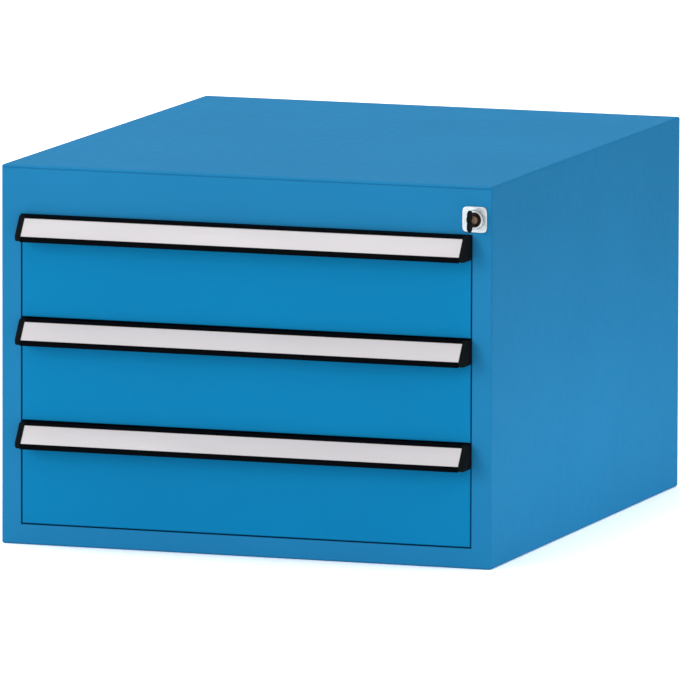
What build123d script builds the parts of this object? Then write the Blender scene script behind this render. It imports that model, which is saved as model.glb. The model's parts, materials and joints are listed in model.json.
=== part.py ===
from build123d import *
import math
import os

# Under-bench drawer unit: a sheet-steel housing with three equal drawers on
# telescopic slides, slanted grip rails with label strips, and a central lock.
# Sizes are in millimetres. Y is 0 on the front frame and grows to the back
# while the pieces are made. Each piece is moved at the end, so that the origin
# is under the middle of the whole unit, on the surface it stands on.

# Housing
housing_width = 500.0
housing_height = 370.0
housing_depth = 585.0
sheet = 1.2
edge_radius = 2.0
stile_width = 19.8
top_band = 47.1
base_band = 19.4
lip_depth = 16.0
flange_depth = 20.0
seam_below_top = 2.0
seam_height = 1.1
seam_depth = 0.7
base_hole_radius = 3.25
base_hole_inset_x = 50.0
base_hole_inset_y = 67.5

# Drawers
drawer_names = ("bottom", "middle", "top")
drawer_travel = 500.0
edge_gap = 1.4
drawer_gap = 2.2
side_gap = 1.5
front_sheet = 1.2
front_return = 18.0
front_rim = 15.0
front_edge_radius = 1.0
tray_sheet = 1.0
tray_depth = 540.0
tray_height = 80.0
tray_lift = 6.0
tray_rim = 5.0

# Telescopic slides
slide_length = 520.0
slide_start = 34.0
slide_height = 45.0
slide_thickness = 12.7
slide_sheet = 1.2
slide_rise = 5.0
slide_web_gap = 1.6
slide_lip = 10.2
slide_opening_clearance = 0.4
raceway_gap = 3.9
runner_lip = 7.9
drawer_member_lip = 7.8
ball_diameter = 3.5
balls_per_row = 6
cage_sheet = 0.8
cage_width = 5.0
cage_end = 10.0

# Uprights that carry the slides inside the housing
upright_width = 40.0
upright_foot = 12.0
front_upright_start = 60.0
upright_spacing = 420.0
upright_top_gap = 8.0
slide_screw_radius = 2.0
slide_screw_head_radius = 3.6
slide_screw_head = 0.9
slide_screw_reach = 4.0
screw_clearance = 0.1

# Grip rail, seen in section: it leans out towards its lower edge, and its lap
# lies on the upper edge of the drawer front
grip_height = 23.3
grip_top_reach = 7.0
grip_bottom_reach = 23.3
grip_wall = 2.4
grip_leg_height = 18.0
grip_lap = 0.9
grip_lap_depth = 10.0
grip_lap_inset = 1.5
grip_face_thickness = 3.0
strip_top_border = 3.3
strip_bottom_border = 5.0
strip_thickness = 1.2
strip_recess = 1.3
strip_edge_clearance = 0.05
cap_width = 5.5
cap_overhang = 1.0
cap_drop = 1.0
cap_corner_radius = 3.5
cap_edge_radius = 1.5

# Lock
lock_inset_x = 17.3
lock_above_opening = 15.0
plate_width = 25.0
plate_height = 25.4
plate_thickness = 2.2
plate_corner_radius = 4.0
plate_edge_radius = 0.8
barrel_radius = 9.0
barrel_proud = 4.0
barrel_length = 26.8
barrel_clearance = 0.1
core_radius = 6.5
core_clearance = 0.05
core_rim_radius = 7.3
core_rim = 0.9
core_rim_clearance = 0.1
tail_size = 5.0
tail_clearance = 0.05
nut_across_flats = 21.0
nut_thickness = 4.0
cam_thickness = 2.0
cam_gap = 0.6
cam_throw = 10.0
cam_arm_radius = 4.0
cam_hub_radius = 7.0
cam_pin_radius = 2.0
cam_turn = 90.0
cam_screw_radius = 1.5
cam_screw_head_radius = 2.7
cam_screw_head = 1.6
cam_screw_length = 7.0
key_thickness = 2.0
key_blade_height = 7.6
key_blade_depth = 17.0
key_slot_clearance = 0.1
key_neck = 6.0
key_bow_radius = 5.4
key_bow_spread = 5.2
key_bow_thickness = 2.6

# Lock bar with its hooks and guides
bar_thickness = 2.0
bar_inner_gap = 0.9
bar_wall_gap = 1.4
bar_bottom = 30.0
bar_top_land = 7.0
bar_cam_gap = 1.0
pin_slot_play = 0.45
hook_height = 7.0
hook_tip_gap = 3.8
hook_overlap = 6.0
hook_above_runner = 1.1
catch_above_hook = 1.5
catch_height = 15.5
catch_behind_hook = 3.0
catch_thickness = 2.0
catch_foot = 15.0
catch_reach = 8.3
guide_height = 16.0
guide_wall = 2.0
guide_clearance = 0.3
guide_below_hook = 22.0

# Sizes that follow from the ones above
opening_half = housing_width / 2 - stile_width
opening_top = housing_height - top_band
wall_inner = housing_width / 2 - sheet
front_half = opening_half - side_gap
drawer_count = len(drawer_names)
free_height = opening_top - base_band - 2 * edge_gap - (drawer_count - 1) * drawer_gap
front_height = free_height / drawer_count
drawer_pitch = front_height + drawer_gap

runner_outer = opening_half - slide_opening_clearance
slide_back = runner_outer + slide_web_gap + slide_sheet
tray_half = slide_back - slide_thickness
slide_centre_rise = tray_lift + slide_rise + slide_height / 2
runner_half_height = slide_height / 2 - slide_sheet - raceway_gap
member_half_height = runner_half_height - slide_sheet - raceway_gap
runner_travel = drawer_travel / 2

lean = math.hypot(grip_bottom_reach - grip_top_reach, grip_height)
lean_out = (grip_bottom_reach - grip_top_reach) / lean
lean_down = grip_height / lean
strip_half = front_half - cap_width

lock_x = housing_width / 2 - lock_inset_x
lock_z = opening_top + lock_above_opening
barrel_end = barrel_length - barrel_proud
cam_front = barrel_end + cam_gap
cam_back = cam_front + cam_thickness
bar_front = cam_back + bar_cam_gap
bar_back = bar_front + bar_thickness
bar_inner = lock_x + cam_screw_head_radius + bar_inner_gap
bar_outer = wall_inner - bar_wall_gap
bar_lift = 2 * cam_throw * math.sin(math.radians(cam_turn / 2))
pin_rest_x = lock_x + cam_throw * math.cos(math.radians(cam_turn / 2))
pin_far_x = lock_x + cam_throw
pin_rest_z = lock_z - bar_lift / 2
hook_rise = slide_centre_rise + runner_half_height + hook_above_runner
catch_rise = hook_rise + hook_height + catch_above_hook
catch_front = bar_front + catch_behind_hook

key_reach = barrel_proud + core_rim + key_neck + 2 * key_bow_radius
front_y = (grip_bottom_reach - housing_depth) / 2


def block(x_low, x_high, y_low, y_high, z_low, z_high):
    centre = Pos((x_low + x_high) / 2, (y_low + y_high) / 2, (z_low + z_high) / 2)
    return centre * Box(abs(x_high - x_low), abs(y_high - y_low), abs(z_high - z_low))


def round_bar(x, z, radius, y_low, y_high):
    middle = Pos(x, (y_low + y_high) / 2, z)
    return middle * Rot(90, 0, 0) * Cylinder(radius, y_high - y_low)


def cross_bar(x_low, x_high, y, z, radius):
    middle = Pos((x_low + x_high) / 2, y, z)
    return middle * Rot(0, 90, 0) * Cylinder(radius, abs(x_high - x_low))


def side_profile(points, x_low, x_high):
    outline = Plane.YZ.offset(x_low) * Polyline(*points, close=True)
    return extrude(make_face(outline), x_high - x_low)


def save(name, *solids):
    placed = [Pos(0, front_y, 0) * solid for solid in solids]
    shape = placed[0] if len(placed) == 1 else Compound(placed)
    export_step(shape, f"parts/{name}.step")


def drawer_bottom(index):
    return base_band + edge_gap + index * drawer_pitch


# The shell is drawn as one folded box and then parted along its weld lines
def housing_shell():
    half = housing_width / 2
    outside = block(-half, half, 0, housing_depth, 0, housing_height)
    outside = fillet(outside.edges(), edge_radius)
    depth = (sheet, housing_depth - sheet)
    inside = block(-wall_inner, wall_inner, *depth, sheet, housing_height - sheet)
    opening = block(-opening_half, opening_half, -sheet, 2 * sheet, base_band, opening_top)
    return outside - inside - opening


def top_rail_space():
    return block(-housing_width, housing_width, -sheet, flange_depth, opening_top, 2 * housing_height)


def side_panel(shell, side):
    far = side * housing_width
    space = block(side * opening_half, far, -sheet, 2 * housing_depth, -sheet, 2 * housing_height)
    panel = (shell & space) - top_rail_space()
    lip_edges = (side * opening_half, side * (opening_half + sheet))
    return panel + block(*lip_edges, 0, lip_depth, base_band, opening_top)


def front_top_rail(shell):
    rail = shell & top_rail_space()
    rail += block(-opening_half, opening_half, 0, lip_depth, opening_top, opening_top + sheet)
    seam_top = housing_height - seam_below_top
    rail -= block(-housing_width, housing_width, -sheet, seam_depth, seam_top - seam_height, seam_top)
    return rail - round_bar(lock_x, lock_z, barrel_radius + barrel_clearance, -sheet, 2 * sheet)


def front_base_rail(shell):
    rail = shell & block(-opening_half, opening_half, -sheet, flange_depth, -sheet, base_band)
    return rail + block(-opening_half, opening_half, 0, lip_depth, base_band - sheet, base_band)


def middle_depth():
    return flange_depth, housing_depth - flange_depth


def top_panel(shell):
    return shell & block(-opening_half, opening_half, *middle_depth(), opening_top, 2 * housing_height)


def base_hole_places():
    for x in (-1, 1):
        for y in (base_hole_inset_y, housing_depth - base_hole_inset_y):
            yield x * (housing_width / 2 - base_hole_inset_x), y


def bottom_panel(shell):
    panel = shell & block(-opening_half, opening_half, *middle_depth(), -sheet, base_band)
    for x, y in base_hole_places():
        panel -= Pos(x, y, 0) * Cylinder(base_hole_radius, 4 * sheet)
    return panel


def back_panel(shell):
    back = (housing_depth - flange_depth, 2 * housing_depth)
    return shell & block(-opening_half, opening_half, *back, -sheet, 2 * housing_height)


def upright_starts():
    return front_upright_start, front_upright_start + upright_spacing


def slide_screw_places(index):
    z = drawer_bottom(index) + slide_centre_rise
    for start in upright_starts():
        yield start + upright_width / 2, z


def slide_upright(side, start):
    height = (sheet, opening_top - upright_top_gap)
    end = start + upright_width
    hat = block(side * slide_back, side * wall_inner, start, end, *height)
    hollow = (start + sheet, end - sheet)
    hat -= block(side * (slide_back + sheet), side * housing_width, *hollow, *height)
    for low, high in ((start - upright_foot, start + sheet), (end - sheet, end + upright_foot)):
        hat += block(side * (wall_inner - sheet), side * wall_inner, low, high, *height)
    for index in range(drawer_count):
        for y, z in slide_screw_places(index):
            if start < y < end:
                hole = slide_screw_radius + screw_clearance
                hat -= cross_bar(side * (slide_back - sheet), side * (slide_back + 2 * sheet), y, z, hole)
    return hat


def slide_screw(side, y, z):
    seat = slide_back - slide_sheet
    head = (side * (seat - slide_screw_head), side * seat)
    shank = (side * seat, side * (slide_back + sheet + slide_screw_reach))
    return cross_bar(*head, y, z, slide_screw_head_radius) + cross_bar(*shank, y, z, slide_screw_radius)


# One member of a slide: a channel with its web at web_outer, and two lips
def channel(side, web_outer, web_inner, lip_end, half_height, z):
    length = (slide_start, slide_start + slide_length)
    body = block(side * web_outer, side * lip_end, *length, z - half_height, z + half_height)
    inside = half_height - slide_sheet
    return body - block(side * web_inner, side * (2 * lip_end - web_inner), *length, z - inside, z + inside)


def cabinet_slide(side, index):
    z = drawer_bottom(index) + slide_centre_rise
    web_inner = slide_back - slide_sheet
    member = channel(side, slide_back, web_inner, slide_back - slide_lip, slide_height / 2, z)
    for y, _ in slide_screw_places(index):
        hole = slide_screw_radius + screw_clearance
        member -= cross_bar(side * (web_inner - sheet), side * (slide_back + sheet), y, z, hole)
    return member


def runner_slide(side, index):
    z = drawer_bottom(index) + slide_centre_rise
    web_inner = runner_outer - slide_sheet
    return channel(side, runner_outer, web_inner, runner_outer - runner_lip, runner_half_height, z)


def drawer_slide(side, index):
    z = drawer_bottom(index) + slide_centre_rise
    web_inner = tray_half + slide_sheet
    return channel(side, tray_half, web_inner, tray_half + drawer_member_lip, member_half_height, z)


# A row of balls in its cage strip, between two lips of a slide
def ball_row(side, x, z, start, end):
    row = block(side * (x - cage_width / 2), side * (x + cage_width / 2), start, end,
                z - cage_sheet / 2, z + cage_sheet / 2)
    step = (end - start - 2 * cage_end) / (balls_per_row - 1)
    for number in range(balls_per_row):
        y = start + cage_end + number * step
        row += Pos(side * x, y, z) * Sphere(ball_diameter / 2)
    return row


# The outer rows stay in the cabinet slide and the inner rows in the drawer's
# slide over the whole travel, so they lie at opposite ends of the runner
def ball_rows(index):
    z = drawer_bottom(index) + slide_centre_rise
    slide_end = slide_start + slide_length
    outer_rows = (slide_start + runner_travel + cage_end, slide_end)
    inner_rows = (slide_start, slide_end - runner_travel - cage_end)
    outer_x = slide_back - slide_lip / 2 - slide_sheet
    inner_x = tray_half + slide_sheet + drawer_member_lip / 2
    outer_rise = runner_half_height + raceway_gap / 2
    inner_rise = member_half_height + raceway_gap / 2
    for side in (-1, 1):
        for up in (-1, 1):
            yield ball_row(side, outer_x, z + up * outer_rise, *outer_rows)
            yield ball_row(side, inner_x, z + up * inner_rise, *inner_rows)


def drawer_front(index):
    low = drawer_bottom(index)
    high = low + front_height
    pan = block(-front_half, front_half, 0, front_return, low, high)
    pan = fillet(pan.faces().sort_by(Axis.Y)[0].edges(), front_edge_radius)
    inner = front_half - front_sheet
    hollow = (front_sheet, front_return - front_sheet)
    pan -= block(-inner, inner, *hollow, low + front_sheet, high - front_sheet)
    mouth = front_half - front_rim
    depth = (front_return / 2, 2 * front_return)
    return pan - block(-mouth, mouth, *depth, low + front_rim, high - front_rim)


def tray(index):
    low = drawer_bottom(index) + tray_lift
    high = low + tray_height
    back = front_return + tray_depth
    shell = block(-tray_half, tray_half, front_return, back, low, high)
    inner = tray_half - tray_sheet
    cavity = (front_return + tray_sheet, back - tray_sheet, low + tray_sheet, high - tray_sheet)
    shell -= block(-inner, inner, *cavity)
    mouth = inner - tray_rim
    mouth_depth = (front_return + tray_sheet + tray_rim, back - tray_sheet - tray_rim)
    return shell - block(-mouth, mouth, *mouth_depth, low + tray_sheet, 2 * high)


# A point of the grip's section: down its leaning face, and into its thickness
def on_grip_face(along, inward):
    reach = grip_top_reach + along * lean_out - inward * lean_down
    return reach, -along * lean_down - inward * lean_out


def grip_top(index):
    return drawer_bottom(index) + front_height + grip_lap


def grip_points(index, places):
    return [(-reach, grip_top(index) + rise) for reach, rise in places]


def under_grip_top():
    along = (grip_wall - grip_face_thickness * lean_out) / lean_down
    return on_grip_face(along, grip_face_thickness)


def grip_rail(index):
    low_border = lean - strip_bottom_border
    places = [
        (0, 0),
        on_grip_face(0, 0),
        on_grip_face(strip_top_border, 0),
        on_grip_face(strip_top_border, strip_recess),
        on_grip_face(low_border, strip_recess),
        on_grip_face(low_border, 0),
        on_grip_face(lean, 0),
        on_grip_face(lean, grip_face_thickness),
        under_grip_top(),
        (grip_wall, -grip_wall),
        (grip_wall, -grip_leg_height),
        (0, -grip_leg_height),
    ]
    rail = side_profile(grip_points(index, places), -strip_half, strip_half)
    lap_half = front_half - grip_lap_inset
    top = grip_top(index)
    return rail + block(-lap_half, lap_half, 0, grip_lap_depth, top - grip_lap, top)


def label_strip(index):
    high = strip_top_border + strip_edge_clearance
    low = lean - strip_bottom_border - strip_edge_clearance
    face = strip_recess - strip_thickness
    places = [
        on_grip_face(high, face),
        on_grip_face(low, face),
        on_grip_face(low, strip_recess),
        on_grip_face(high, strip_recess),
    ]
    return side_profile(grip_points(index, places), -strip_half, strip_half)


def end_cap(side, index):
    places = [
        (0, 0),
        on_grip_face(0, 0),
        on_grip_face(lean + cap_drop / lean_down, 0),
        (0, -grip_height - cap_drop),
    ]
    x_low, x_high = sorted((side * strip_half, side * (front_half + cap_overhang)))
    cap = side_profile(grip_points(index, places), x_low, x_high)
    front_corner = cap.edges().filter_by(Axis.X).sort_by(Axis.Y)[0]
    cap = fillet(front_corner, cap_corner_radius)
    outer_face = cap.faces().sort_by(Axis.X)[-1 if side > 0 else 0]
    return chamfer(outer_face.edges().sort_by(Axis.Y)[:-1], cap_edge_radius)


def drawer_catch(index):
    low = drawer_bottom(index) + catch_rise
    height = (low, low + catch_height)
    foot = block(tray_half, tray_half + catch_thickness, catch_front, catch_front + catch_foot, *height)
    end = catch_front + catch_thickness
    return foot + block(tray_half, tray_half + catch_reach, catch_front, end, *height)


def lock_plate():
    blank = block(lock_x - plate_width / 2, lock_x + plate_width / 2, -plate_thickness, 0,
                  lock_z - plate_height / 2, lock_z + plate_height / 2)
    blank = fillet(blank.edges().filter_by(Axis.Y), plate_corner_radius)
    blank = fillet(blank.faces().sort_by(Axis.Y)[0].edges(), plate_edge_radius)
    return blank - round_bar(lock_x, lock_z, barrel_radius + barrel_clearance, -2 * plate_thickness, sheet)


def lock_body():
    barrel = round_bar(lock_x, lock_z, barrel_radius, -barrel_proud, barrel_end)
    bore = round_bar(lock_x, lock_z, core_radius + core_clearance, -2 * barrel_proud, 2 * barrel_end)
    return barrel - bore


def lock_nut():
    prism = extrude(RegularPolygon(nut_across_flats / 2, 6, major_radius=False), nut_thickness)
    nut = Pos(lock_x, sheet + nut_thickness, lock_z) * Rot(90, 0, 0) * prism
    hole = barrel_radius + barrel_clearance
    return nut - round_bar(lock_x, lock_z, hole, 0, 2 * sheet + nut_thickness)


def lock_core():
    rim_back = -barrel_proud - core_rim_clearance
    core = round_bar(lock_x, lock_z, core_rim_radius, rim_back - core_rim, rim_back)
    core += round_bar(lock_x, lock_z, core_radius, rim_back, cam_front)
    half = tail_size / 2
    core += block(lock_x - half, lock_x + half, cam_front, cam_back, lock_z - half, lock_z + half)
    slot_x = key_thickness / 2 + key_slot_clearance
    slot_z = key_blade_height / 2 + key_slot_clearance
    slot_end = rim_back - core_rim + key_blade_depth + key_slot_clearance
    core -= block(lock_x - slot_x, lock_x + slot_x, -key_reach, slot_end, lock_z - slot_z, lock_z + slot_z)
    screw_hole = cam_screw_radius + screw_clearance
    return core - round_bar(lock_x, lock_z, screw_hole, cam_back - cam_screw_length, 2 * cam_back)


def key():
    face = -barrel_proud - core_rim_clearance - core_rim
    neck_end = face - key_neck
    half_x = key_thickness / 2
    half_z = key_blade_height / 2
    shank = (lock_x - half_x, lock_x + half_x)
    length = (neck_end - key_bow_radius / 2, face + key_blade_depth)
    blade = block(*shank, *length, lock_z - half_z, lock_z + half_z)
    bow_y = neck_end - key_bow_radius + core_rim_clearance
    bow_x = key_bow_thickness / 2
    for rise in (-key_bow_spread, key_bow_spread):
        blade += cross_bar(lock_x - bow_x, lock_x + bow_x, bow_y, lock_z + rise, key_bow_radius)
    return blade


def lock_cam():
    depth = (cam_front, cam_back)
    hub = round_bar(lock_x, lock_z, cam_hub_radius, *depth)
    arm = block(lock_x, lock_x + cam_throw, *depth, lock_z - cam_arm_radius, lock_z + cam_arm_radius)
    end = round_bar(lock_x + cam_throw, lock_z, cam_arm_radius, *depth)
    pin = round_bar(lock_x + cam_throw, lock_z, cam_pin_radius, cam_front, bar_back + bar_cam_gap)
    cam = hub + arm + end + pin
    turned = cam.rotate(Axis((lock_x, 0, lock_z), (0, 1, 0)), cam_turn / 2)
    half = tail_size / 2 + tail_clearance
    return turned - block(lock_x - half, lock_x + half, *depth, lock_z - half, lock_z + half)


def cam_screw():
    head = round_bar(lock_x, lock_z, cam_screw_head_radius, cam_back, cam_back + cam_screw_head)
    shank_start = cam_back - cam_screw_length + cam_screw_head
    return head + round_bar(lock_x, lock_z, cam_screw_radius, shank_start, cam_back)


def lock_bar():
    slot_half_height = cam_pin_radius + pin_slot_play
    top = pin_rest_z + slot_half_height + bar_top_land
    bar = block(bar_inner, bar_outer, bar_front, bar_back, bar_bottom, top)
    slot = (pin_rest_x - cam_pin_radius - pin_slot_play, pin_far_x + cam_pin_radius + pin_slot_play)
    slot += (bar_front - bar_thickness, bar_back + bar_thickness)
    slot += (pin_rest_z - slot_half_height, pin_rest_z + slot_half_height)
    return bar - block(*slot)


def lock_hook(index):
    low = drawer_bottom(index) + hook_rise
    tip = tray_half + hook_tip_gap
    return block(tip, bar_inner + hook_overlap, bar_front - bar_thickness, bar_front, low, low + hook_height)


def bar_guide(index):
    high = drawer_bottom(index) + hook_rise - guide_below_hook
    height = (high - guide_height, high)
    inner = bar_inner - guide_clearance
    outer = bar_outer + guide_clearance
    window = (bar_front - guide_clearance, bar_back + guide_clearance)
    guide = block(inner - guide_wall, wall_inner, window[0] - guide_wall, window[1] + guide_wall, *height)
    return guide - block(inner, outer, *window, *height)


os.makedirs("parts", exist_ok=True)

shell = housing_shell()
save("left_side_panel", side_panel(shell, -1))
save("right_side_panel", side_panel(shell, 1))
save("front_top_rail", front_top_rail(shell))
save("front_base_rail", front_base_rail(shell))
save("top_panel", top_panel(shell))
save("bottom_panel", bottom_panel(shell))
save("back_panel", back_panel(shell))

for side_name, side in (("left", -1), ("right", 1)):
    save(f"{side_name}_slide_uprights", *(slide_upright(side, start) for start in upright_starts()))
    for index, drawer in enumerate(drawer_names):
        save(f"{drawer}_{side_name}_cabinet_slide", cabinet_slide(side, index))
        save(f"{drawer}_{side_name}_runner_slide", runner_slide(side, index))
        save(f"{drawer}_{side_name}_drawer_slide", drawer_slide(side, index))

screws = []
for side in (-1, 1):
    for index in range(drawer_count):
        screws += [slide_screw(side, y, z) for y, z in slide_screw_places(index)]
save("slide_screws", *screws)

for index, drawer in enumerate(drawer_names):
    save(f"{drawer}_ball_rows", *ball_rows(index))
    save(f"{drawer}_drawer_front", drawer_front(index))
    save(f"{drawer}_drawer_tray", tray(index))
    save(f"{drawer}_grip_rail", grip_rail(index))
    save(f"{drawer}_label_strip", label_strip(index))
    save(f"{drawer}_grip_end_caps", end_cap(-1, index), end_cap(1, index))
    save(f"{drawer}_lock_catch", drawer_catch(index))

save("lock_plate", lock_plate())
save("lock_body", lock_body())
save("lock_nut", lock_nut())
save("lock_core", lock_core())
save("lock_key", key())
save("lock_cam", lock_cam())
save("cam_screw", cam_screw())
save("lock_bar", lock_bar())
save("lock_hooks", *(lock_hook(index) for index in range(drawer_count)))
save("bar_guides", *(bar_guide(index) for index in range(drawer_count)))
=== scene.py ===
import json
import math

import bmesh
import bpy
from mathutils import Matrix, Vector


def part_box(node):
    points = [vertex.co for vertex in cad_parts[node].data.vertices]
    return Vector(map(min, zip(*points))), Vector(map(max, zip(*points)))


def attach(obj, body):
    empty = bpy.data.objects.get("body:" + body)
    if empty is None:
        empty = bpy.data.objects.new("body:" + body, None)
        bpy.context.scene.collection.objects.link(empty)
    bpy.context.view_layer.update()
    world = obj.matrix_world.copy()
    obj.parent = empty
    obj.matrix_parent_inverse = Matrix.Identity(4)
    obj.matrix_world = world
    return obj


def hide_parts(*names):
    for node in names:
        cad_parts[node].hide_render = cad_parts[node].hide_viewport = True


# Looks of the under-bench drawer unit. Everything is in metres, in the frame
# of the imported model: +X right, +Y to the back, +Z up. The drawer fronts lie
# flush with the front frame, whose plane is frame_front.
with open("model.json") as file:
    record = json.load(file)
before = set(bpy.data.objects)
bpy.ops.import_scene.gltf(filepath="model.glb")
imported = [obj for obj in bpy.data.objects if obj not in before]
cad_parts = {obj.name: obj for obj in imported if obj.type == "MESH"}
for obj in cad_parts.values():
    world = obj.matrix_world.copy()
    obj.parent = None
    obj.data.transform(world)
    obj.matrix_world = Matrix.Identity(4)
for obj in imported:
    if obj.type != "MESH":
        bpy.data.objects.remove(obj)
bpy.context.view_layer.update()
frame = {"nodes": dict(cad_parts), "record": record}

mm = 0.001
drawers = ("bottom", "middle", "top")
sides = (("left", -1), ("right", 1))
frame_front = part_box("front_base_rail")[0].y

# Camera, as it stood for the photograph
camera_place = Vector((4.6913, frame_front - 13.2535, 2.1621))
camera_yaw = 19.121
camera_pitch = -7.902
camera_roll = -0.158
camera_lens = 781.5
camera_near = 0.1
camera_far = 200.0
sensor_width = 36.0

# Floor, and the light of the white surroundings
sky_light = 0.62
floor_size = 60.0
floor_drop = 0.2 * mm
floor_as_lit = (0.90, 0.90, 0.90, 1)
floor_as_seen = (1.75, 1.75, 1.75, 1)

# Lamps. The two low ones only fill in, and the metal doesn't reflect them
lamps = {
    "overhead": {
        "place": (-0.6, 0.4, 4.2), "target": (0, 0, 0.2),
        "width": 4.0, "height": 4.0, "watts": 66, "reflected": True,
    },
    "front_left": {
        "place": (-3.4, -4.2, 1.8), "target": (0, 0, 0.2),
        "width": 2.6, "height": 2.6, "watts": 90, "reflected": True,
    },
    "low_right": {
        "place": (0.52, 0, 0.04), "target": (0.25, 0, 0.04),
        "width": 0.9, "height": 0.06, "watts": 0.55, "reflected": False,
    },
    "low_front": {
        "place": (0, frame_front - 1.1, 0.05), "target": (0, frame_front, 0.05),
        "width": 1.6, "height": 0.06, "watts": 1.6, "reflected": False,
    },
}

# Noise seldom goes past these two values
noise_low = 0.3
noise_high = 0.7

# How far the lines in rolled steel are stretched along X, Y and Z
rolled_along_y = (1, 40, 1)
rolled_along_z = (1, 1, 40)
not_rolled = (1, 1, 1)

# Section of the grip rails, as in the model
grip_height = 23.3 * mm
grip_top_reach = 7.0 * mm
grip_bottom_reach = 23.3 * mm
grip_wall = 2.4 * mm
grip_leg_height = 18.0 * mm
grip_face_thickness = 3.0 * mm
grip_seat_edge = 0.3 * mm
grip_top_edge = 0.8 * mm
grip_tip_edge = 0.9 * mm
grip_inner_bend = 1.2 * mm
grip_leg_edge = 0.8 * mm
grip_lap = 0.9 * mm
lap_edge = 0.3 * mm
lap_seat_edge = 0.05 * mm

# Length of the rail's leaning face, and how far each part of it goes out and down
grip_face_length = math.hypot(grip_bottom_reach - grip_top_reach, grip_height)
lean_out = (grip_bottom_reach - grip_top_reach) / grip_face_length
lean_down = grip_height / grip_face_length

# Label strips, and the rail's recess and lips that hold them
strip_top_border = 3.3 * mm
strip_bottom_border = 5.0 * mm
strip_thickness = 0.8 * mm
strip_edge = 0.1 * mm
strip_clearance = 0.1 * mm
strip_recess = 1.3 * mm
strip_recess_corner = 0.1 * mm
strip_lip = 0.35 * mm
strip_lip_cover = 0.8 * mm
strip_lip_front_edge = 0.15 * mm
strip_lip_back_edge = 0.1 * mm
strip_lip_root = 0.05 * mm

# End caps of the rails
cap_drop = 1.0 * mm
cap_edge = 2.2 * mm
cap_seat_radius = 0.3 * mm
cap_top_radius = 1.6 * mm
cap_bottom_radius = 3.0 * mm
cap_dish = 0.4 * mm
cap_dish_share = 0.80
cap_dish_floor_share = 0.76

# Lock
plate_power = 6.0
plate_edge = 0.9 * mm
plate_dish = 0.25 * mm
plate_land = 0.5 * mm
plate_hole_clearance = 0.1 * mm
plate_hole_rim = 0.3 * mm
plate_hole_bevel = 0.2 * mm
barrel_nose = 0.8 * mm
barrel_bevel = 0.2 * mm
core_rim_overlap = 0.75 * mm
thread_pitch = 1.0 * mm
thread_depth = 0.5 * mm
plug_radius = 3.8 * mm
plug_rise = 0.15 * mm
plug_edge = 0.15 * mm
plug_depth = 0.4 * mm
slot_width = 2.2 * mm
slot_height = 7.8 * mm

# Key. Each cut in its blade has a place, back from the tip, and a depth
key_thickness = 2.0 * mm
key_neck = 6.0 * mm
key_blade_height = 7.6 * mm
key_blade_depth = 17.0 * mm
key_shoulder = 1.2 * mm
key_step = 0.5 * mm
key_point = 2.0 * mm
key_cuts = ((5.0 * mm, 1.4 * mm), (8.0 * mm, 0.4 * mm), (11.0 * mm, 1.8 * mm), (14.0 * mm, 0.0))
key_head_radius = 5.4 * mm
key_head_spread = 5.2 * mm
key_head_thickness = 2.6 * mm
key_head_edge = 0.5 * mm
key_head_lap = 0.1 * mm

# Telescopic slides
slide_sheet = 1.2 * mm
slide_bend = 1.9 * mm
slide_curl = 0.45 * mm
slide_edge = 0.4 * mm

# Trays
tray_sheet = 1.0 * mm
tray_rim = 5.0 * mm
tray_bend = 1.6 * mm
tray_corner = 2.0 * mm
tray_least_corner = 0.4 * mm

# Steps in the round forms
circle_steps = 72
corner_steps = 5
cap_corner_steps = 8
cap_edge_steps = 7
plate_edge_steps = 5
barrel_nose_steps = 4
key_lobe_steps = 24
key_head_edge_steps = 4
tray_bend_steps = 5


# A shader whose colour, roughness and height come from noise of a real size
class Finish:
    def __init__(self, name, colour, roughness, metallic=0.0, specular=0.5):
        self.material = bpy.data.materials.new(name)
        self.material.use_nodes = True
        self.nodes = self.material.node_tree.nodes
        self.links = self.material.node_tree.links
        self.shader = self.nodes["Principled BSDF"]
        self.colour = colour
        self.shader.inputs["Base Color"].default_value = (*colour, 1)
        self.shader.inputs["Roughness"].default_value = roughness
        self.shader.inputs["Metallic"].default_value = metallic
        self.shader.inputs["Specular IOR Level"].default_value = specular
        self.place = self.nodes.new("ShaderNodeTexCoord").outputs["Object"]
        self.normal = None

    def noise(self, size, detail=2.0, stretch=(1, 1, 1)):
        mapping = self.nodes.new("ShaderNodeMapping")
        mapping.inputs["Scale"].default_value = [1 / (size * share) for share in stretch]
        self.links.new(self.place, mapping.inputs["Vector"])
        texture = self.nodes.new("ShaderNodeTexNoise")
        texture.inputs["Scale"].default_value = 1.0
        texture.inputs["Detail"].default_value = detail
        self.links.new(mapping.outputs["Vector"], texture.inputs["Vector"])
        return texture.outputs["Fac"]

    def vary_colour(self, pattern, darker, lighter):
        ramp = self.nodes.new("ShaderNodeValToRGB")
        ends = zip(ramp.color_ramp.elements, (noise_low, noise_high), (darker, lighter))
        for element, place, share in ends:
            element.position = place
            element.color = (*(min(1.0, channel * share) for channel in self.colour), 1)
        self.links.new(pattern, ramp.inputs["Fac"])
        self.links.new(ramp.outputs["Color"], self.shader.inputs["Base Color"])

    def vary_roughness(self, pattern, low, high):
        spread = self.nodes.new("ShaderNodeMapRange")
        spread.inputs["From Min"].default_value = noise_low
        spread.inputs["From Max"].default_value = noise_high
        spread.inputs["To Min"].default_value = low
        spread.inputs["To Max"].default_value = high
        self.links.new(pattern, spread.inputs["Value"])
        self.links.new(spread.outputs["Result"], self.shader.inputs["Roughness"])

    def relief(self, pattern, depth):
        bump = self.nodes.new("ShaderNodeBump")
        bump.inputs["Strength"].default_value = 1.0
        bump.inputs["Distance"].default_value = depth
        self.links.new(pattern, bump.inputs["Height"])
        if self.normal:
            self.links.new(self.normal, bump.inputs["Normal"])
        self.normal = bump.outputs["Normal"]
        self.links.new(self.normal, self.shader.inputs["Normal"])


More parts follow.
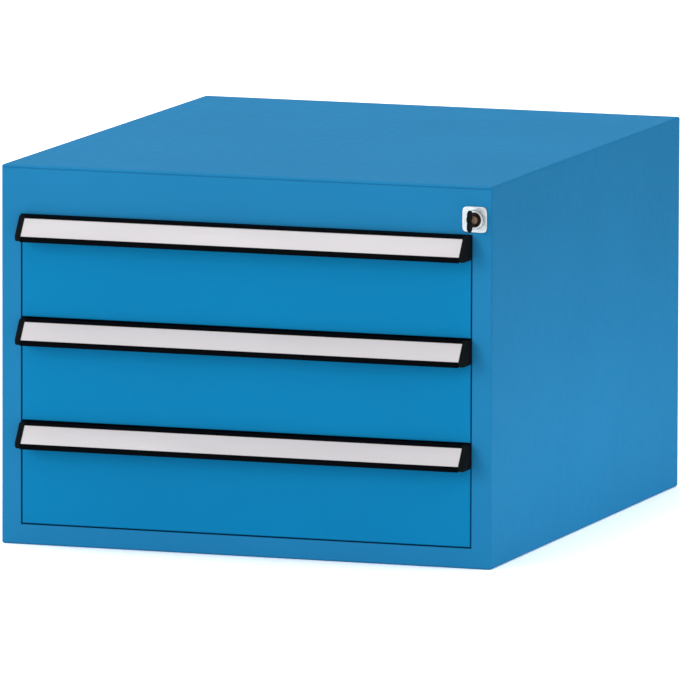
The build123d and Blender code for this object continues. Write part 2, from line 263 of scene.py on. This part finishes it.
# Powder paint on steel: a faint cloud, and a coarse and a fine orange peel
def powder_coat(name, colour, specular):
    finish = Finish(name, colour, roughness=0.65, specular=specular)
    finish.vary_colour(finish.noise(140 * mm, detail=3.0), darker=0.975, lighter=1.025)
    finish.vary_roughness(finish.noise(9 * mm, detail=4.0), low=0.6, high=0.72)
    finish.relief(finish.noise(1.6 * mm, detail=1.0), depth=0.03 * mm)
    finish.relief(finish.noise(0.35 * mm, detail=1.0), depth=0.006 * mm)
    return finish.material


# Zinc plate: a dull bright metal with faint rolling lines and cloudy patches
def zinc_plate(name, colour, lines):
    finish = Finish(name, colour, roughness=0.38, metallic=1.0)
    finish.vary_colour(finish.noise(18 * mm, detail=5.0), darker=0.86, lighter=1.08)
    finish.vary_roughness(finish.noise(6 * mm, detail=4.0), low=0.3, high=0.46)
    finish.relief(finish.noise(0.5 * mm, stretch=lines), depth=0.012 * mm)
    return finish.material


# Extruded black plastic, with fine lines along the rail
def extruded_plastic(name, colour):
    finish = Finish(name, colour, roughness=0.6, specular=0.02)
    finish.vary_colour(finish.noise(12 * mm, detail=3.0, stretch=(8, 1, 1)), darker=0.8, lighter=1.25)
    finish.vary_roughness(finish.noise(1.2 * mm, stretch=(60, 1, 1)), low=0.52, high=0.68)
    finish.relief(finish.noise(0.6 * mm, stretch=(80, 1, 1)), depth=0.01 * mm)
    return finish.material


# Moulded black plastic, with the fine spark-eroded grain of its mould
def moulded_plastic(name, colour):
    finish = Finish(name, colour, roughness=0.62, specular=0.025)
    finish.vary_colour(finish.noise(4 * mm, detail=3.0), darker=0.85, lighter=1.2)
    finish.vary_roughness(finish.noise(1 * mm, detail=3.0), low=0.55, high=0.72)
    finish.relief(finish.noise(0.25 * mm), depth=0.025 * mm)
    return finish.material


# Satin label stock behind the rail's lips, with a faint cloud and fibre grain
def label_stock(name, colour):
    finish = Finish(name, colour, roughness=0.5, specular=0.3)
    finish.vary_colour(finish.noise(35 * mm, detail=4.0, stretch=(4, 1, 1)), darker=0.95, lighter=1.04)
    finish.vary_roughness(finish.noise(3 * mm, detail=3.0, stretch=(6, 1, 1)), low=0.42, high=0.58)
    finish.relief(finish.noise(0.4 * mm, detail=3.0, stretch=(5, 1, 1)), depth=0.008 * mm)
    return finish.material


# Smooth metal, only a little clouded
def plated(name, colour, roughness):
    finish = Finish(name, colour, roughness, metallic=1.0)
    finish.vary_colour(finish.noise(3 * mm, detail=4.0), darker=0.92, lighter=1.06)
    finish.vary_roughness(finish.noise(1.5 * mm, detail=3.0), low=roughness * 0.8, high=roughness * 1.3)
    finish.relief(finish.noise(0.3 * mm), depth=0.002 * mm)
    return finish.material


materials = {
    "housing_paint": powder_coat("housing_paint", (0.018, 0.226, 0.474), specular=0.022),
    "drawer_paint": powder_coat("drawer_paint", (0.004, 0.228, 0.492), specular=0.035),
    "tray_paint": powder_coat("tray_paint", (0.55, 0.57, 0.59), specular=0.3),
    "grip_black": extruded_plastic("grip_black", (0.001, 0.0015, 0.0025)),
    "cap_black": moulded_plastic("cap_black", (0.005, 0.007, 0.0085)),
    "label_white": label_stock("label_white", (0.70, 0.67, 0.69)),
    "slide_steel": zinc_plate("slide_steel", (0.45, 0.46, 0.47), rolled_along_y),
    "bracket_steel": zinc_plate("bracket_steel", (0.42, 0.43, 0.44), rolled_along_z),
    "screw_steel": zinc_plate("screw_steel", (0.48, 0.49, 0.50), not_rolled),
    "ball_steel": plated("ball_steel", (0.58, 0.59, 0.60), roughness=0.15),
    "lock_chrome": plated("lock_chrome", (0.50, 0.545, 0.57), roughness=0.36),
    "lock_core": plated("lock_core", (0.022, 0.015, 0.012), roughness=0.35),
    "key_brass": plated("key_brass", (0.34, 0.27, 0.20), roughness=0.3),
}


def dress_frame():
    slots = {part["node"]: part["material_slot"] for part in frame["record"]["subparts"]}
    for node, piece in frame["nodes"].items():
        piece.data.materials.clear()
        piece.data.materials.append(materials[slots[node]])


# Makes a piece of the object from points and faces
def make_piece(name, body, slot, shape, replaced=(), material=None, sharp_angle=35.0):
    vertices, faces = shape
    mesh = bpy.data.meshes.new(name)
    mesh.from_pydata(vertices, [], faces)
    work = bmesh.new()
    work.from_mesh(mesh)
    bmesh.ops.recalc_face_normals(work, faces=work.faces)
    work.to_mesh(mesh)
    work.free()
    mesh.shade_smooth()
    mesh.set_sharp_from_angle(angle=math.radians(sharp_angle))
    mesh.materials.append(material or materials[slot])
    piece = bpy.data.objects.new(name, mesh)
    bpy.context.scene.collection.objects.link(piece)
    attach(piece, body)
    if replaced:
        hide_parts(*replaced)
    return piece


# Joins a row of loops that have equal numbers of points. The ends are capped,
# or joined to each other where the row is a ring
def loft(loops, ring=False):
    count = len(loops[0])
    vertices = [point for loop in loops for point in loop]
    faces = []
    for row in range(len(loops) if ring else len(loops) - 1):
        here = row * count
        there = (row + 1) % len(loops) * count
        for index in range(count):
            after = (index + 1) % count
            faces.append((here + index, here + after, there + after, there + index))
    if not ring:
        faces.append(tuple(range(count)))
        faces.append(tuple(range(len(vertices) - count, len(vertices))))
    return vertices, faces


# Loops in planes across Y, from outlines around a centre in X and Z
def along_y(centre, outlines):
    return [[(centre.x + across, y, centre.z + up) for across, up in outline] for outline, y in outlines]


# Loops in planes across X, from outlines in Y and Z
def along_x(outlines):
    return [[(x, y, z) for y, z in outline] for outline, x in outlines]


# An outline with its corners turned into arcs
def rounded(corners, radii, steps=corner_steps):
    outline = []
    for index, corner in enumerate(corners):
        here = Vector(corner)
        back = (Vector(corners[index - 1]) - here).normalized()
        ahead = (Vector(corners[(index + 1) % len(corners)]) - here).normalized()
        half_angle = back.angle(ahead) / 2
        centre = here + (back + ahead).normalized() * (radii[index] / math.sin(half_angle))
        start = here + back * (radii[index] / math.tan(half_angle)) - centre
        end = here + ahead * (radii[index] / math.tan(half_angle)) - centre
        first = math.atan2(start.y, start.x)
        sweep = math.remainder(math.atan2(end.y, end.x) - first, math.tau)
        for step in range(steps + 1):
            turn = first + sweep * step / steps
            across, up = radii[index] * math.cos(turn), radii[index] * math.sin(turn)
            outline.append((centre.x + across, centre.y + up))
    return outline


# A quarter of a circle that rounds an edge, from one face to the next. Each
# step gives its distances from the two faces, the first of which grows
def quarter_round(radius, steps):
    for step in range(steps + 1):
        turn = math.radians(90 * step / steps)
        yield radius * (1 - math.cos(turn)), radius * (1 - math.sin(turn))


def circle(radius):
    turns = (math.tau * index / circle_steps for index in range(circle_steps))
    return [(radius * math.cos(turn), radius * math.sin(turn)) for turn in turns]


# A square with bowed sides and rounded corners
def bowed_square(half_width, half_height):
    outline = []
    for across, up in circle(1.0):
        outline.append((
            half_width * math.copysign(abs(across) ** (2 / plate_power), across),
            half_height * math.copysign(abs(up) ** (2 / plate_power), up),
        ))
    return outline


def rectangle(half_width, half_height):
    outline = []
    for across, up in circle(1.0):
        reach = max(abs(across), abs(up))
        outline.append((half_width * across / reach, half_height * up / reach))
    return outline


# An outline scaled about its middle
def shrunk(outline, share):
    middle = [sum(point[axis] for point in outline) / len(outline) for axis in (0, 1)]
    return [
        tuple(centre + (value - centre) * share for centre, value in zip(middle, point))
        for point in outline
    ]


def half_width_of(node):
    low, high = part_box(node)
    return (high.x - low.x) / 2


# A point of the grip's section: down its leaning face, and into its thickness
def on_grip_face(along, inward):
    reach = grip_top_reach + along * lean_out - inward * lean_down
    return reach, -along * lean_down - inward * lean_out


def under_grip_top():
    along = (grip_wall - grip_face_thickness * lean_out) / lean_down
    return on_grip_face(along, grip_face_thickness)


# Reach from the drawer's face and rise from the grip's top, as Y and Z
def beside_front(drawer, places):
    face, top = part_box(f"{drawer}_drawer_front")[0].y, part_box(f"{drawer}_grip_rail")[1].z
    return [(face - reach, top + rise) for reach, rise in places]


# A shape as long as the drawer's strip, with the same section all along
def along_strip(drawer, section):
    return loft(along_x([(section, corner.x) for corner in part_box(f"{drawer}_label_strip")]))


# The rail's front holds the strip behind two thin lips. Each corner of its
# section comes with its radius
def grip_section():
    low = grip_face_length - strip_bottom_border
    high = strip_top_border
    corners = [
        ((0, 0), grip_seat_edge),
        (on_grip_face(0, 0), grip_top_edge),
        (on_grip_face(high, 0), strip_lip_front_edge),
        (on_grip_face(high, strip_lip), strip_lip_back_edge),
        (on_grip_face(high - strip_lip_cover, strip_lip), strip_lip_root),
        (on_grip_face(high - strip_lip_cover, strip_recess), strip_recess_corner),
        (on_grip_face(low + strip_lip_cover, strip_recess), strip_recess_corner),
        (on_grip_face(low + strip_lip_cover, strip_lip), strip_lip_root),
        (on_grip_face(low, strip_lip), strip_lip_back_edge),
        (on_grip_face(low, 0), strip_lip_front_edge),
        (on_grip_face(grip_face_length, 0), grip_tip_edge),
        (on_grip_face(grip_face_length, grip_face_thickness), grip_tip_edge),
        (under_grip_top(), grip_inner_bend),
        ((grip_wall, -grip_wall), grip_inner_bend),
        ((grip_wall, -grip_leg_height), grip_leg_edge),
        ((0, -grip_leg_height), grip_seat_edge),
    ]
    return zip(*corners)


def make_grip(drawer):
    places, radii = grip_section()
    shape = along_strip(drawer, rounded(beside_front(drawer, places), radii))
    make_piece(f"{drawer}_grip", f"{drawer}_drawer", "grip_black", shape, [f"{drawer}_grip_rail"])


# The part of the rail that lies on the upper edge of the drawer front
def make_lap(drawer):
    low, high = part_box(f"{drawer}_grip_rail")
    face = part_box(f"{drawer}_drawer_front")[0].y
    corners = [(face, high.z), (high.y, high.z), (high.y, high.z - grip_lap), (face, high.z - grip_lap)]
    outline = rounded(corners, [lap_seat_edge, lap_edge, lap_edge, lap_seat_edge])
    shape = loft(along_x([(outline, low.x), (outline, high.x)]))
    make_piece(f"{drawer}_grip_lap", f"{drawer}_drawer", "grip_black", shape, [f"{drawer}_grip_rail"])


def make_strip(drawer):
    high = strip_top_border - strip_lip_cover + strip_clearance
    low = grip_face_length - strip_bottom_border + strip_lip_cover - strip_clearance
    places = [
        on_grip_face(high, strip_recess - strip_thickness),
        on_grip_face(low, strip_recess - strip_thickness),
        on_grip_face(low, strip_recess),
        on_grip_face(high, strip_recess),
    ]
    shape = along_strip(drawer, rounded(beside_front(drawer, places), [strip_edge] * len(places)))
    make_piece(f"{drawer}_label", f"{drawer}_drawer", "label_white", shape, [f"{drawer}_label_strip"])


# The cap's side view, drawn in from its top, its leaning face and its bottom
def cap_outline(drawer, drawn_in):
    rises = (-drawn_in, drawn_in - grip_height - cap_drop)
    alongs = [(-rise - drawn_in * lean_out) / lean_down for rise in rises]
    upper, lower = (on_grip_face(along, drawn_in) for along in alongs)
    places = [(0, rises[0]), upper, lower, (0, rises[1])]
    radii = [cap_seat_radius, cap_top_radius, cap_bottom_radius, cap_seat_radius]
    return rounded(beside_front(drawer, places), radii, cap_corner_steps)


# An end cap with rounded outer edges and a shallow dish in its outer side
def make_cap(drawer, side_name, side):
    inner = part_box(f"{drawer}_label_strip")[1].x
    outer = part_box(f"{drawer}_grip_end_caps")[1].x
    loops = [(cap_outline(drawer, 0), inner)]
    for drawn_in, before_end in quarter_round(cap_edge, cap_edge_steps):
        loops.append((cap_outline(drawer, drawn_in), outer - before_end))
    flat = cap_outline(drawer, cap_edge)
    loops.append((shrunk(flat, cap_dish_share), outer))
    loops.append((shrunk(flat, cap_dish_floor_share), outer - cap_dish))
    placed = [(loop, side * x) for loop, x in loops]
    name = f"{drawer}_{side_name}_cap"
    make_piece(name, f"{drawer}_drawer", "cap_black", loft(along_x(placed)), [f"{drawer}_grip_end_caps"])


# The plate has rounded edges and a dished face with a flat border
def make_lock_plate(centre):
    low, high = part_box("lock_plate")
    half_width, half_height = half_width_of("lock_plate"), (high.z - low.z) / 2
    hole = half_width_of("lock_body") + plate_hole_clearance
    rim = hole + plate_hole_rim
    loops = [(bowed_square(half_width, half_height), high.y)]
    for drawn_in, behind_face in quarter_round(plate_edge, plate_edge_steps):
        outline = bowed_square(half_width - drawn_in, half_height - drawn_in)
        loops.append((outline, low.y + behind_face))
    border = plate_edge + plate_land
    loops.append((bowed_square(half_width - border, half_height - border), low.y))
    loops.append((circle(rim + plate_land), low.y + plate_dish))
    loops.append((circle(rim), low.y + plate_dish))
    loops.append((circle(hole), low.y + plate_dish + plate_hole_bevel))
    loops.append((circle(hole), high.y))
    shape = loft(along_y(centre, loops), ring=True)
    make_piece("lock_escutcheon", "housing", "lock_chrome", shape, ["lock_plate"])


# The barrel has a rounded nose and a thread behind the plate
def make_lock_barrel(centre):
    low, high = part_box("lock_body")
    radius = half_width_of("lock_body")
    bore = half_width_of("lock_core") - core_rim_overlap
    loops = [
        (circle(bore), high.y),
        (circle(bore), low.y + barrel_bevel),
        (circle(bore + barrel_bevel), low.y),
    ]
    for behind_nose, drawn_in in quarter_round(barrel_nose, barrel_nose_steps):
        loops.append((circle(radius - drawn_in), low.y + behind_nose))
    y = frame_front + 2 * thread_pitch
    while y < high.y - thread_pitch:
        loops.append((circle(radius), y))
        loops.append((circle(radius - thread_depth), y + thread_pitch / 2))
        y += thread_pitch
    loops.append((circle(radius - thread_depth), high.y))
    shape = loft(along_y(centre, loops), ring=True)
    make_piece("lock_barrel", "housing", "lock_chrome", shape, ["lock_body"])


# A plug in the core's face, with the keyway through it
def make_lock_plug(centre):
    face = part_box("lock_core")[0].y
    keyway = rectangle(slot_width / 2, slot_height / 2)
    loops = [
        (keyway, face + plug_depth),
        (keyway, face - plug_rise),
        (circle(plug_radius - plug_edge), face - plug_rise),
        (circle(plug_radius), face),
        (circle(plug_radius), face + plug_depth),
    ]
    make_piece("lock_plug", "lock_core", "key_brass", loft(along_y(centre, loops), ring=True))


# The blade reaches from inside the key's head, through the core, to its tip
def make_key_blade(centre):
    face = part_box("lock_core")[0].y
    start = face - key_neck - key_head_radius / 2
    tip = face + key_blade_depth
    half = key_blade_height / 2
    corners = [
        (start, -half), (start, half),
        (face - key_shoulder, half), (face - key_shoulder, half - key_step),
        (tip - key_point, half - key_step), (tip, 0), (tip - key_point, -half),
    ]
    corners += [(tip - back, depth - half) for back, depth in key_cuts]
    outline = [(y, centre.z + rise) for y, rise in corners]
    loops = [(outline, centre.x - key_thickness / 2), (outline, centre.x + key_thickness / 2)]
    make_piece("key_blade", "lock_core", "key_brass", loft(along_x(loops)), ["lock_key"])


# The moulded head's outline: two round lobes, one above the other
def key_head_outline(radius):
    spread = key_head_spread * radius / key_head_radius
    waist = math.asin(spread / radius)
    upper = []
    for step in range(key_lobe_steps):
        turn = (math.pi + 2 * waist) * step / key_lobe_steps - waist
        upper.append((radius * math.cos(turn), spread + radius * math.sin(turn)))
    return upper + [(-out, -up) for out, up in upper]


# The head sits on the neck's end, and its edges are rounded on both sides
def make_key_head(centre):
    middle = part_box("lock_core")[0].y - key_neck - key_head_radius + key_head_lap
    half_thickness = key_head_thickness / 2
    edge = list(quarter_round(key_head_edge, key_head_edge_steps))
    loops = []
    for side, profile in ((-1, edge[::-1]), (1, edge)):
        for drawn_in, before_end in profile:
            outline = key_head_outline(key_head_radius - drawn_in)
            x = centre.x + side * (half_thickness - before_end)
            loops.append([(x, middle + out, centre.z + up) for out, up in outline])
    make_piece("key_head", "lock_core", "key_brass", loft(loops), material=materials["cap_black"])


def make_lock():
    low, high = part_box("lock_body")
    centre = (low + high) / 2
    make_lock_plate(centre)
    make_lock_barrel(centre)
    make_lock_plug(centre)
    make_key_blade(centre)
    make_key_head(centre)


# A rolled slide member: a web with two bent lips that curl round the balls
def slide_section(web, tip, half_height):
    inward = 1 if tip > web else -1
    outer = [
        (web, half_height), (tip, half_height - slide_curl), (tip, half_height - slide_curl - slide_sheet),
        (web + inward * slide_sheet, half_height - slide_sheet),
    ]
    corners = outer + [(x, -z) for x, z in reversed(outer)]
    radii = [slide_bend, slide_edge, slide_edge, slide_bend - slide_sheet]
    return rounded(corners, radii + radii[::-1])


def make_slide_member(node, body, web_at_outside):
    low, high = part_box(node)
    outside, inside = (low.x, high.x) if high.x < 0 else (high.x, low.x)
    web, tip = (outside, inside) if web_at_outside else (inside, outside)
    middle = (low.z + high.z) / 2
    section = slide_section(web, tip, (high.z - low.z) / 2)
    loops = [[(x, y, middle + rise) for x, rise in section] for y in (low.y, high.y)]
    make_piece(f"{node}_rolled", body, "slide_steel", loft(loops), [node])


def tray_outline(low, high, drawn_in):
    corners = [
        (low.x + drawn_in, low.y + drawn_in), (high.x - drawn_in, low.y + drawn_in),
        (high.x - drawn_in, high.y - drawn_in), (low.x + drawn_in, high.y - drawn_in),
    ]
    return rounded(corners, [max(tray_corner - drawn_in, tray_least_corner)] * len(corners))


# A folded tray: bent up from its floor, with a rim turned in along the top
def make_tray(drawer):
    low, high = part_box(f"{drawer}_drawer_tray")
    profile = []
    for above_floor, drawn_in in quarter_round(tray_bend, tray_bend_steps):
        profile.append((drawn_in, low.z + above_floor))
    for drawn_in, below_rim in quarter_round(tray_bend, tray_bend_steps):
        profile.append((drawn_in, high.z - below_rim))
    profile.append((tray_sheet + tray_rim, high.z))
    profile.append((tray_sheet + tray_rim, high.z - tray_sheet))
    inner_bend = tray_bend - tray_sheet
    profile.append((tray_sheet + inner_bend, high.z - tray_sheet))
    profile.append((tray_sheet, high.z - tray_sheet - inner_bend))
    profile.append((tray_sheet, low.z + tray_sheet + inner_bend))
    profile.append((tray_sheet + inner_bend, low.z + tray_sheet))
    loops = [[(x, y, z) for x, y in tray_outline(low, high, drawn_in)] for drawn_in, z in profile]
    make_piece(f"{drawer}_tray", f"{drawer}_drawer", "tray_paint", loft(loops), [f"{drawer}_drawer_tray"])


def make_drawer(drawer):
    make_grip(drawer)
    make_lap(drawer)
    make_strip(drawer)
    make_tray(drawer)
    for side_name, side in sides:
        make_cap(drawer, side_name, side)
        make_slide_member(f"{drawer}_{side_name}_cabinet_slide", "housing", True)
        make_slide_member(f"{drawer}_{side_name}_runner_slide", f"{drawer}_runner", True)
        make_slide_member(f"{drawer}_{side_name}_drawer_slide", f"{drawer}_drawer", False)


# One for the rays that see the white background, and nought for all others
def seen_directly(nodes, links):
    path = nodes.new("ShaderNodeLightPath")
    total = path.outputs["Is Camera Ray"]
    for name in ("Is Glossy Ray", "Is Transmission Ray"):
        join = nodes.new("ShaderNodeMath")
        join.operation = "MAXIMUM"
        links.new(total, join.inputs[0])
        links.new(path.outputs[name], join.inputs[1])
        total = join.outputs["Value"]
    return total


def make_world():
    world = bpy.data.worlds.new("studio")
    bpy.context.scene.world = world
    world.use_nodes = True
    nodes, links = world.node_tree.nodes, world.node_tree.links
    background = nodes["Background"]
    background.inputs["Color"].default_value = (1, 1, 1, 1)
    spread = nodes.new("ShaderNodeMapRange")
    spread.inputs["To Min"].default_value = sky_light
    spread.inputs["To Max"].default_value = 1.0
    links.new(seen_directly(nodes, links), spread.inputs["Value"])
    links.new(spread.outputs["Result"], background.inputs["Strength"])


# The floor looks white, and still takes the object's shadow
def make_floor():
    half = floor_size / 2
    mesh = bpy.data.meshes.new("floor")
    corners = [(-half, -half, 0), (half, -half, 0), (half, half, 0), (-half, half, 0)]
    mesh.from_pydata(corners, [], [(0, 1, 2, 3)])
    floor = bpy.data.objects.new("floor", mesh)
    bpy.context.scene.collection.objects.link(floor)
    floor.location.z = -floor_drop
    material = bpy.data.materials.new("floor_white")
    material.use_nodes = True
    nodes, links = material.node_tree.nodes, material.node_tree.links
    nodes.remove(nodes["Principled BSDF"])
    surface = nodes.new("ShaderNodeBsdfDiffuse")
    shade = nodes.new("ShaderNodeMix")
    shade.data_type = "RGBA"
    shade.inputs["A"].default_value = floor_as_lit
    shade.inputs["B"].default_value = floor_as_seen
    links.new(seen_directly(nodes, links), shade.inputs["Factor"])
    links.new(shade.outputs["Result"], surface.inputs["Color"])
    links.new(surface.outputs["BSDF"], nodes["Material Output"].inputs["Surface"])
    mesh.materials.append(material)


def make_lamp(name, place, target, width, height, watts, reflected):
    lamp = bpy.data.lights.new(name, "AREA")
    lamp.shape = "RECTANGLE"
    lamp.size, lamp.size_y = width, height
    lamp.energy = watts
    holder = bpy.data.objects.new(name, lamp)
    bpy.context.scene.collection.objects.link(holder)
    aim = Vector(target) - Vector(place)
    holder.matrix_world = Matrix.Translation(place) @ aim.to_track_quat("-Z", "Y").to_matrix().to_4x4()
    holder.visible_camera = False
    holder.visible_glossy = reflected


def make_camera():
    data = bpy.data.cameras.new("photo_camera")
    data.lens, data.sensor_width = camera_lens, sensor_width
    data.clip_start, data.clip_end = camera_near, camera_far
    camera = bpy.data.objects.new("photo_camera", data)
    bpy.context.scene.collection.objects.link(camera)
    turn = Matrix.Rotation(math.radians(camera_yaw), 4, "Z")
    turn @= Matrix.Rotation(math.radians(camera_pitch), 4, "X")
    turn @= Matrix.Rotation(math.radians(camera_roll), 4, "Y")
    looking_ahead = Matrix.Rotation(math.radians(90), 4, "X")
    camera.matrix_world = Matrix.Translation(camera_place) @ turn @ looking_ahead
    bpy.context.scene.camera = camera


make_camera()
dress_frame()
for drawer in drawers:
    make_drawer(drawer)
make_lock()
make_world()
make_floor()
for name, settings in lamps.items():
    make_lamp(name, **settings)
bpy.context.scene.view_settings.view_transform = "Standard"
